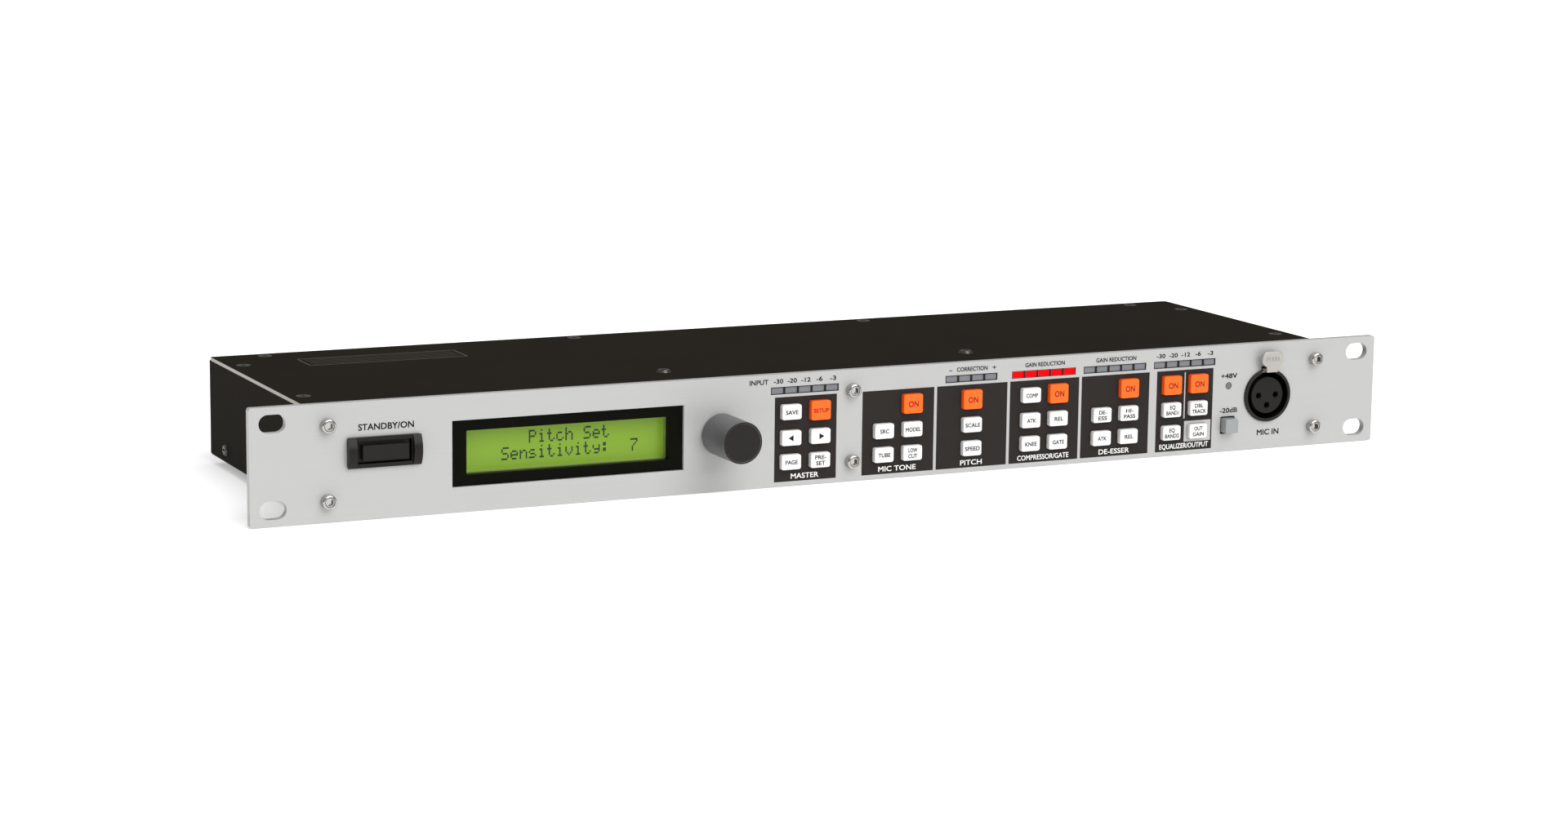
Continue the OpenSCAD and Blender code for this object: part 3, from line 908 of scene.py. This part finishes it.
def arrow(x, z, size, towards, face):
    """A small solid triangle that points to one side."""
    clear()
    bpy.ops.mesh.primitive_cylinder_add(
        vertices=3,
        radius=size * MM,
        depth=INK + SUNK,
        location=(x * MM, face - (INK - SUNK) / 2, z * MM),
        rotation=(math.radians(90.0), 0.0, 0.0),
    )
    mark = settle("arrow")
    spot = Vector((x * MM, face, z * MM))
    turn = Matrix.Rotation(math.radians(90.0 * towards), 4, "Y")
    mark.data.transform(Matrix.Translation(spot) @ turn @ Matrix.Translation(-spot))
    return mark


print("capitals are", CAPITAL, "of the type size")

# %% [markdown]
# The legends on the keys ride with their own keys, so each is a piece by itself. A
# legend of two lines is typed as two words that are joined. A hyphen and a figure one
# are narrower than a letter, so they count for less when a word's width is worked out.

# %% Letter the keys
LEGENDS = {
    "save": "SAVE", "setup": "SETUP", "page": "PAGE", "preset": "PRE-/SET",
    "mic_on": "ON", "mic_source": "SRC", "mic_model": "MODEL", "mic_tube": "TUBE",
    "mic_low_cut": "LOW/CUT", "pitch_on": "ON", "pitch_scale": "SCALE",
    "pitch_speed": "SPEED", "comp": "COMP", "comp_on": "ON", "comp_attack": "ATK",
    "comp_release": "REL", "comp_knee": "KNEE", "gate": "GATE", "deess_on": "ON",
    "deess": "DE-/ESS", "high_pass": "HI-/PASS", "deess_attack": "ATK",
    "deess_release": "REL", "eq_on": "ON", "output_on": "ON", "eq_band_1": "EQ/BAND1",
    "double_track": "DBL/TRACK", "eq_band_2": "EQ/BAND2", "out_gain": "OUT/GAIN",
}
LETTER_PITCH = 1.31
LETTER_HIGH = 1.62
ON_WIDE, ON_HIGH = 4.3, 2.4
LINE_PITCH = 2.3
FIRST_OF_TWO = 1.2
CAP_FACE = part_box("key_save")[0].y + CAP_DISH


def legend(name, text):
    """Letters one cap."""
    at = centre("key_" + name) / MM
    lines = text.split("/")
    lit = SLOT_OF["key_" + name] == "key_orange"
    tall = ON_HIGH if text == "ON" else LETTER_HIGH
    lift = FIRST_OF_TWO if len(lines) == 2 else 0.0
    signs = []
    for number, line in enumerate(lines):
        letters = len(line) - 0.35 * line.count("-") - 0.5 * line.count("1")
        wide = ON_WIDE if text == "ON" else LETTER_PITCH * letters
        foot = at.z - tall / 2 + lift - LINE_PITCH * number
        signs.append(word(line, at.x, foot, tall, wide, face=CAP_FACE, bold=0.02))
    made = join("legend_" + name, signs)
    dress(made, "key_" + name, "print_red" if lit else "print_black")


for name, text in LEGENDS.items():
    legend(name, text)
ARROW_SIZE = 1.4
for name, towards in (("left", -1.0), ("right", 1.0)):
    at = centre("key_" + name) / MM
    mark = arrow(at.x, at.z, ARROW_SIZE, towards, CAP_FACE)
    mark.name = "legend_" + name
    dress(mark, "key_" + name, "print_black")
print("lettered", len(LEGENDS) + 2, "keys")

# %% [markdown]
# The panel's own words are joined into two prints, one black on the bare metal and one
# white on the dark fields, because a printer lays each colour in one pass. Each row gives
# a word, its middle, its foot line, its height and its width. A title gives only its
# middle and its width, because all of them stand on one line at the foot of the fields.

# %% Letter the panel
METER_MARKS = ("-30", "-20", "-12", "-6", "-3")
METER_MIDDLES = (-20.3, 149.85)
SEGMENT_PITCH = 5.8
MARK_SHIFT = 0.35
black = [
    word(*row)
    for row in (
        ("STANDBY/ON", -189.5, 11.3, 2.4, 21.4),
        ("INPUT", -39.8, 18.3, 1.9, 7.9),
        ("-", 42.9, 18.4, 1.7, 1.3),
        ("CORRECTION", 52.45, 18.4, 1.7, 13.7),
        ("+", 62.3, 18.4, 1.7, 1.6),
        ("GAIN REDUCTION", 85.15, 18.4, 1.7, 17.9),
        ("GAIN REDUCTION", 117.75, 18.4, 1.7, 18.5),
        ("+48V", 171.15, 8.3, 2.0, 7.7),
        ("-20dB", 171.35, -5.9, 2.0, 8.3),
        ("MIC IN", 190.55, -16.2, 2.3, 10.5),
    )
]
for middle in METER_MIDDLES:
    for number, mark in enumerate(METER_MARKS):
        at = middle + MARK_SHIFT + (number - 2) * SEGMENT_PITCH
        black.append(word(mark, at, 18.4, 1.75, 1.4 * len(mark) - 0.2))
dress(join("print_on_metal", black), "chassis", "print_black")
white = [
    word(text, x, -19.1, 2.0, width, face=FRONT - INK, bold=0.008)
    for text, x, width in (
        ("MASTER", -20.0, 11.8),
        ("MIC TONE", 20.0, 16.4),
        ("PITCH", 52.7, 9.6),
        ("COMPRESSOR/GATE", 85.15, 23.3),
        ("DE-ESSER", 117.75, 14.1),
        ("EQUALIZER/OUTPUT", 150.5, 23.0),
    )
]
dress(join("print_on_fields", white), "chassis", "print_white")
print("lettered the panel")

# %% [markdown]
# ## The display's characters
# The cell shows two lines of dot characters, five dots wide and seven high. Each
# character is written below as seven short rows, and each mark in a row becomes one
# small square dot. All the dots are one piece, a few hundredths proud of the cell.

# %% Draw the dot characters
DOT_CHARACTERS = {
    "P": "####. #...# #...# ####. #.... #.... #....",
    "S": ".#### #.... #.... .###. ....# ....# ####.",
    "t": ".#... .#... ###.. .#... .#... .#..# ..##.",
    "e": "..... ..... .###. #...# ##### #.... .###.",
    "i": "..#.. ..... .##.. ..#.. ..#.. ..#.. .###.",
    "c": "..... ..... .###. #.... #.... #...# .###.",
    "h": "#.... #.... #.##. ##..# #...# #...# #...#",
    "n": "..... ..... #.##. ##..# #...# #...# #...#",
    "s": "..... ..... .###. #.... .###. ....# ####.",
    "v": "..... ..... #...# #...# #...# .#.#. ..#..",
    "y": "..... ..... #...# #...# .#### ....# .###.",
    ":": "..... .##.. .##.. ..... .##.. .##.. .....",
    "7": "##### ....# ...#. ..#.. .#... .#... .#...",
}
CHARACTER_PITCH = 3.667
FIRST_COLUMN = -153.3
DOT_SIZE = Vector((0.56, 0.06, 0.66)) * MM
DOT_SUNK = 0.04 * MM
cell_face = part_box("lcd_cell")[0].y
dot = block("dot", (0, 0, 0), DOT_SIZE)
open_up(dot)
pick_faces(dot, lambda at, way: way.y < -0.99)
bpy.ops.mesh.inset(thickness=0.05 * MM)
nudge(-0.02 * MM)
close()
dots = []
for text, column, top in (("Pitch Set", 6, 5.9), ("Sensitivity:", 3, 0.0), ("7", 17.2, 0.0)):
    for number, letter in enumerate(text):
        rows = DOT_CHARACTERS.get(letter, "").split()
        left = FIRST_COLUMN + (column + number) * CHARACTER_PITCH
        for down, row in enumerate(rows):
            for across, mark in enumerate(row):
                if mark == "#":
                    x = left * MM + across * DOT_ACROSS
                    z = top * MM - (down + 1) * DOT_UP
                    dots.append(copied(dot, "dot_copy", (x, cell_face - DOT_SUNK, z)))
drop(dot)
print("dots:", len(dots))
dot_piece = join("display_dots", dots)
finish("lcd_dots", (0.006, 0.022, 0.008), rough=0.4, drift=0.05, bump=0.01, shine=0.3)
dress(dot_piece, "chassis", "lcd_green")
dot_piece.data.materials[0] = FINISHES["lcd_dots"]
print("display:", len(dot_piece.data.polygons), "faces")

# %% [markdown]
# ## The socket's latch and contacts
# The release tab of the microphone socket has its word raised on it. The contacts are
# thin sprung sleeves deep in the three holes of the insert.

# %% Word on the latch and the contact sleeves
CONTACT_SPOTS = ((-4.04, 0.0), (4.04, 0.0), (0.0, -4.1))
SLEEVE_FRONT, SLEEVE_BACK, SLEEVE_DEEP = 1.5 * MM, 15.0 * MM, 11.0 * MM
SLEEVE_RADIUS, SLEEVE_WALL = 1.22 * MM, 0.22 * MM
tab_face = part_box("mic_latch")[0].y
mic_middle = centre("mic_insert")
latch_word = word("PUSH", mic_middle.x / MM, 14.75, 1.75, 6.0, face=tab_face, bold=0.01,
                  proud=0.12 * MM)
latch_word.name = "latch_word"
dress(latch_word, "mic_latch", "latch_nickel")
sleeves = []
for across, up in CONTACT_SPOTS:
    sleeve = rod("sleeve", mic_middle.x + across * MM, mic_middle.z + up * MM, SLEEVE_RADIUS,
                 SLEEVE_FRONT, SLEEVE_BACK, sides=24)
    open_up(sleeve)
    pick_faces(sleeve, lambda at, way: way.y < -0.99)
    bpy.ops.mesh.inset(thickness=SLEEVE_WALL)
    draw_out(SLEEVE_DEEP)
    close()
    sleeves.append(sleeve)
contacts = join("contact_sleeves", sleeves)
smooth(contacts)
dress(contacts, "chassis", "bright_steel")
print("contacts:", len(contacts.data.polygons), "faces")

# %% [markdown]
# ## The back
# The sockets at the back get their words in white on the black steel, read from behind.

# %% Letter the back
back_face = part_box("rear_panel")[1].y
back_words = [
    word(text, x, foot, 2.2, face=back_face, rear=True)
    for text, x, foot in (
        ("LINE IN", -150.0, 7.4),
        ("LINE OUT", -120.0, 7.4),
        ("FOOT SW", -90.0, 7.4),
        ("OUT", 40.0, 9.4),
        ("IN", 68.0, 9.4),
        ("DC IN", 180.0, 3.4),
    )
]
dress(join("print_on_back", back_words), "chassis", "print_white")
print("lettered the back")

# %% [markdown]
# Each jack is held by a hexagon nut on a plain washer. The nut's outer corners are
# turned off, as they are on a real one, and its middle is open for the socket's nose.

# %% Nuts and washers of the jacks
NOSE = 6.25 * MM
WASHER_RADIUS, WASHER_THICK = 8.8 * MM, 0.4 * MM
NUT_RADIUS, NUT_THICK = 7.9 * MM, 1.1 * MM


def ring(name, x, z, inner, outer, front, back, sides=64):
    """A plain ring that stands on the back."""
    made = rod(name, x, z, outer, front, back, sides)
    open_up(made)
    pick_faces(made, lambda at, way: abs(way.y) > 0.99)
    bpy.ops.mesh.delete(type="FACE")
    pick_edges(made, lambda at, way: abs(way.y) < 0.1)
    bpy.ops.mesh.extrude_region_move()
    middle = Vector((x, (front + back) / 2, z))
    shrink = inner / outer
    bpy.ops.transform.resize(value=(shrink, 1.0, shrink), center_override=middle)
    close()
    return made


washers = []
nuts = []
jack_z = centre("jack_sockets").z
rim = back_face + WASHER_THICK
for x in (-150.0, -120.0, -90.0):
    washers.append(ring("washer", x * MM, jack_z, NOSE, WASHER_RADIUS, back_face, rim))
    nuts.append(ring("nut", x * MM, jack_z, NOSE, NUT_RADIUS, rim, rim + NUT_THICK, sides=6))

# %% [markdown]
# The five-pin sockets have a thin metal screen in the groove round their pins, and the
# supply socket has a round-nosed pin. Both are small, but they are the only bright
# metal that shows there.

# %% Screens and the supply pin
SCREEN_INNER, SCREEN_OUTER, SCREEN_FROM = 6.2 * MM, 6.8 * MM, 118.0 * MM
PIN_RADIUS, PIN_FROM, PIN_SHY = 1.05 * MM, 113.0 * MM, 0.8 * MM
screen_z = centre("midi_sockets").z
screens = [
    ring("screen", x * MM, screen_z, SCREEN_INNER, SCREEN_OUTER, SCREEN_FROM, back_face)
    for x in (40.0, 68.0)
]
supply = centre("dc_inlet")
pin = rod("pin", supply.x, supply.z, PIN_RADIUS, PIN_FROM, back_face - PIN_SHY, sides=32)
for name, pieces, slot in (
    ("jack_washers", washers, "dark_steel"),
    ("jack_nuts", nuts, "module_metal"),
    ("midi_screens", screens, "module_metal"),
    ("supply_pin", [pin], "module_metal"),
):
    made = join(name, pieces)
    apply_modifier(made, "BEVEL", width=0.2 * MM, segments=2, limit_method="ANGLE")
    smooth(made, 30.0)
    dress(made, "chassis", slot)
    print(name, len(made.data.polygons), "faces")

# %% [markdown]
# A long frame is printed on the lid, near its back left corner, where a maker prints
# notes for the fitter. It is left without words here, and only its fine rules are drawn.

# %% Print the frame on the lid
LID_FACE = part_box("top_cover")[1].z
NOTE_LEFT, NOTE_RIGHT, NOTE_FRONT, NOTE_BACK = -188.0, -123.0, 90.5, 107.5
LINE = 0.4
RULE_SUNK, RULE_PROUD = 0.01 * MM, 0.02 * MM


def rule(x0, x1, y0, y1):
    """A thin printed line on the lid, given in millimetres."""
    return block("rule", (x0 * MM, y0 * MM, LID_FACE - RULE_SUNK),
                 (x1 * MM, y1 * MM, LID_FACE + RULE_PROUD))


finish("print_grey", (0.12, 0.112, 0.095), rough=0.6, drift=0.1, bump=0.02, shine=0.1)
finish("print_faint", (0.033, 0.03, 0.025), rough=0.6, drift=0.3, bump=0.02, shine=0.05)
frame_sides = [
    rule(NOTE_LEFT, NOTE_RIGHT, NOTE_FRONT, NOTE_FRONT + LINE),
    rule(NOTE_LEFT, NOTE_RIGHT, NOTE_BACK - LINE, NOTE_BACK),
    rule(NOTE_LEFT, NOTE_LEFT + LINE, NOTE_FRONT, NOTE_BACK),
    rule(NOTE_RIGHT - LINE, NOTE_RIGHT, NOTE_FRONT, NOTE_BACK),
]
outline = dress(join("note_frame", frame_sides), "chassis", "cover_black")
outline.data.materials[0] = FINISHES["print_grey"]
rules = [
    rule(NOTE_LEFT + 2.0, NOTE_RIGHT - 2.0, NOTE_FRONT + 1.9 + gap, NOTE_FRONT + 2.9 + gap)
    for gap in (0.0, 2.5, 5.0, 7.5, 10.0, 12.5)
]
lines = dress(join("note_rules", rules), "chassis", "cover_black")
lines.data.materials[0] = FINISHES["print_faint"]
print("printed the lid")

# %% [markdown]
# ## The studio
# A white floor and a white surround stand in for a product table. The camera sees the
# surround as plain white, but the light that it gives is dimmer from below than from
# above. One broad sun from the front right gives the soft shadows that fall to the left.

# %% Floor and light
FLOOR_GAP = 0.2 * MM
clear()
bpy.ops.mesh.primitive_plane_add(size=30.0, location=(0.0, 0.0, cad_low.z - FLOOR_GAP))
floor = settle("floor")
finish("floor_white", (0.94, 0.94, 0.94), rough=0.8, drift=0.01, wide=2.0, bump=0.0, shine=0.1)
glow("floor_white", (1.0, 1.0, 1.0), 0.36)
floor.data.materials.append(FINISHES["floor_white"])
floor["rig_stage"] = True
world = bpy.data.worlds.new("studio")
world.use_nodes = True
bpy.context.scene.world = world
surround = world.node_tree.nodes["Background"]
surround.inputs["Color"].default_value = (1.0, 1.0, 1.0, 1.0)
sky = world.node_tree
ray = add(sky, "ShaderNodeLightPath")
rising = sky.nodes.new("ShaderNodeMapRange")
rising.inputs["To Min"].default_value = 0.12
rising.inputs["To Max"].default_value = 0.85
shown = sky.nodes.new("ShaderNodeMix")
shown.inputs["B"].default_value = 1.0
sky.links.new(axes_of(sky, "Generated")["Z"], rising.inputs["Value"])
sky.links.new(ray.outputs["Is Camera Ray"], shown.inputs["Factor"])
sky.links.new(rising.outputs["Result"], shown.inputs["A"])
sky.links.new(shown.outputs["Result"], surround.inputs["Strength"])
sun_data = bpy.data.lights.new("broad_sun", "SUN")
sun_data.energy = 2.6
sun_data.angle = math.radians(55.0)
sun = bpy.data.objects.new("broad_sun", sun_data)
bpy.context.scene.collection.objects.link(sun)
sun.rotation_euler = Vector((0.24, -0.82, 0.74)).to_track_quat("Z", "Y").to_euler()
bpy.context.scene.view_settings.view_transform = "Standard"
print("studio ready")

# %% [markdown]
# ## The size at the end
# The looks must not make the object bigger than the frame says, so the box of everything
# shown is printed.

# %% Sizes and the last line
low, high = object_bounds()
print("visual box", [round(v, 4) for v in (*low, *high)])
